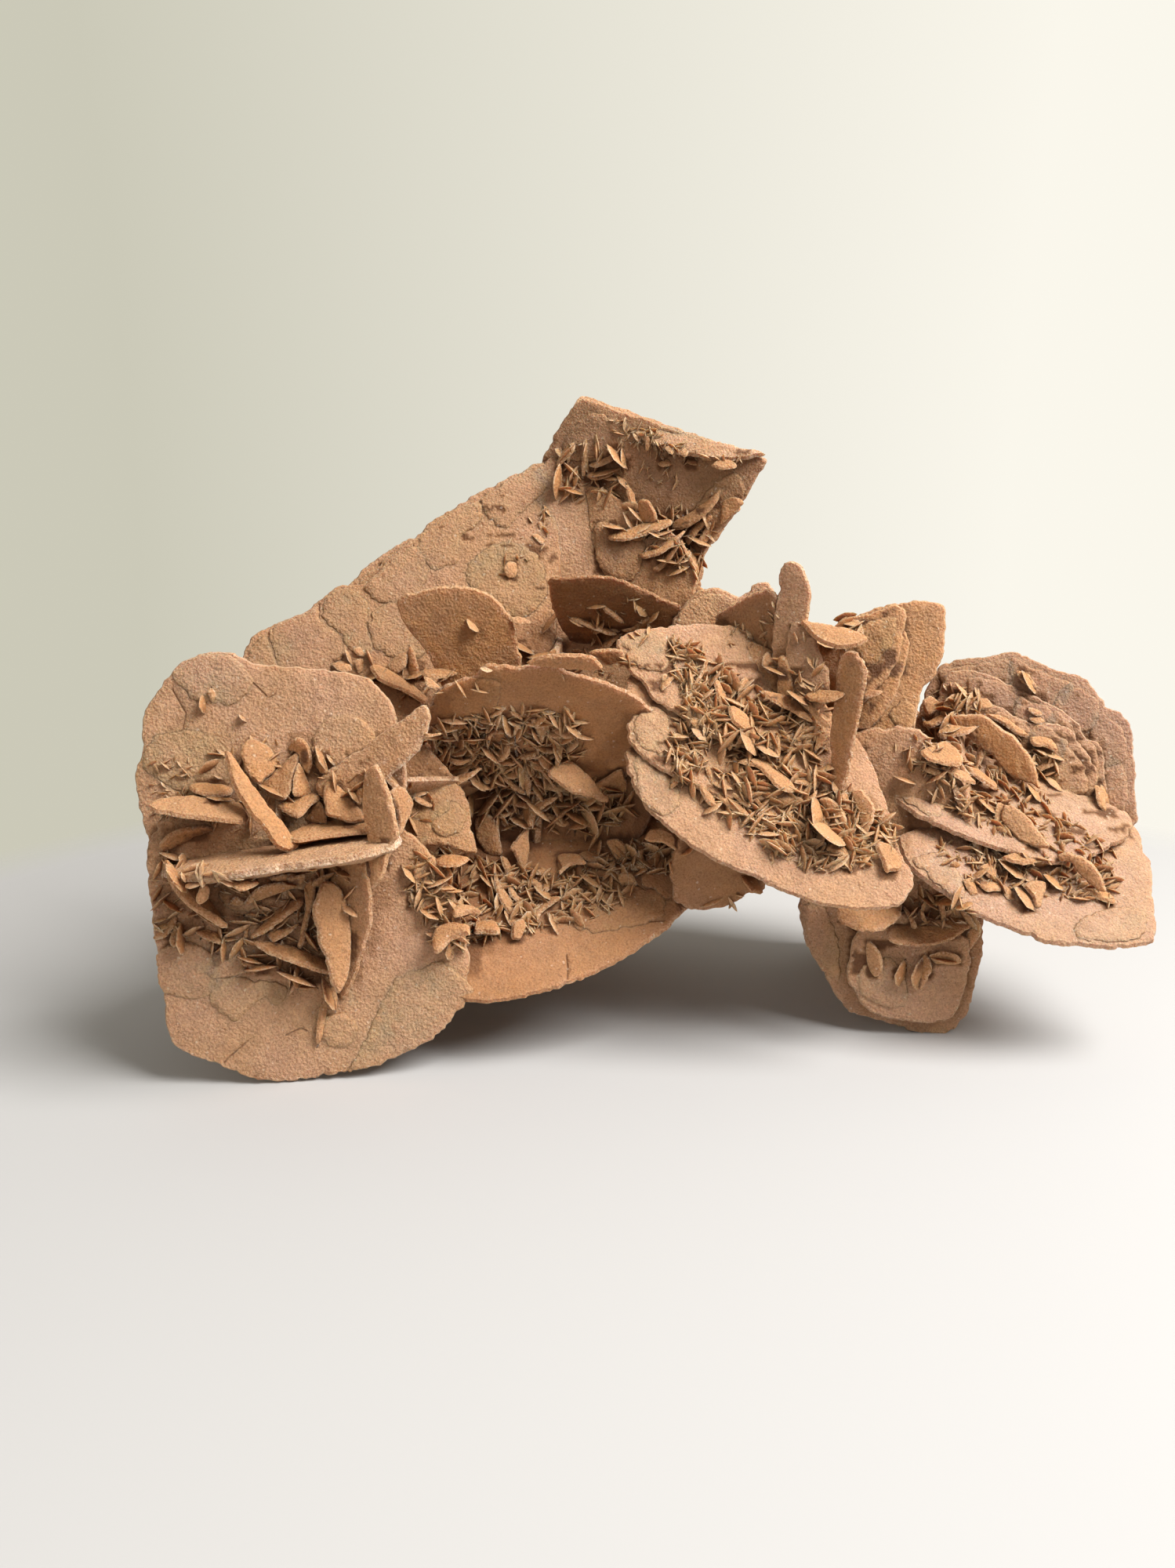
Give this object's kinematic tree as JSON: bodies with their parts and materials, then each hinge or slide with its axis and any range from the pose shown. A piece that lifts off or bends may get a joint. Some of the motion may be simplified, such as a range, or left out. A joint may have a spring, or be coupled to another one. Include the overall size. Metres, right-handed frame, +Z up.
{
  "type": "gypsum sand rose",
  "caption": "Gypsum sand rose: broad lens-shaped plates and small bladed crystals grown through each other into one open cluster that rests on its own rims.",
  "frame": {"origin": "centre of the bounding box, on the floor that the rose stands on", "axes": "+Z up, +X to the right seen from the front, and the front faces -Y"},
  "size_m": [0.2552, 0.1468, 0.166],
  "materials": {
    "sandy_gypsum": "matt, sandy pinkish tan gypsum with pale worn rims"
  },
  "bodies": {
    "root": {"sand_rose": "sandy_gypsum"}
  },
  "joints": []
}
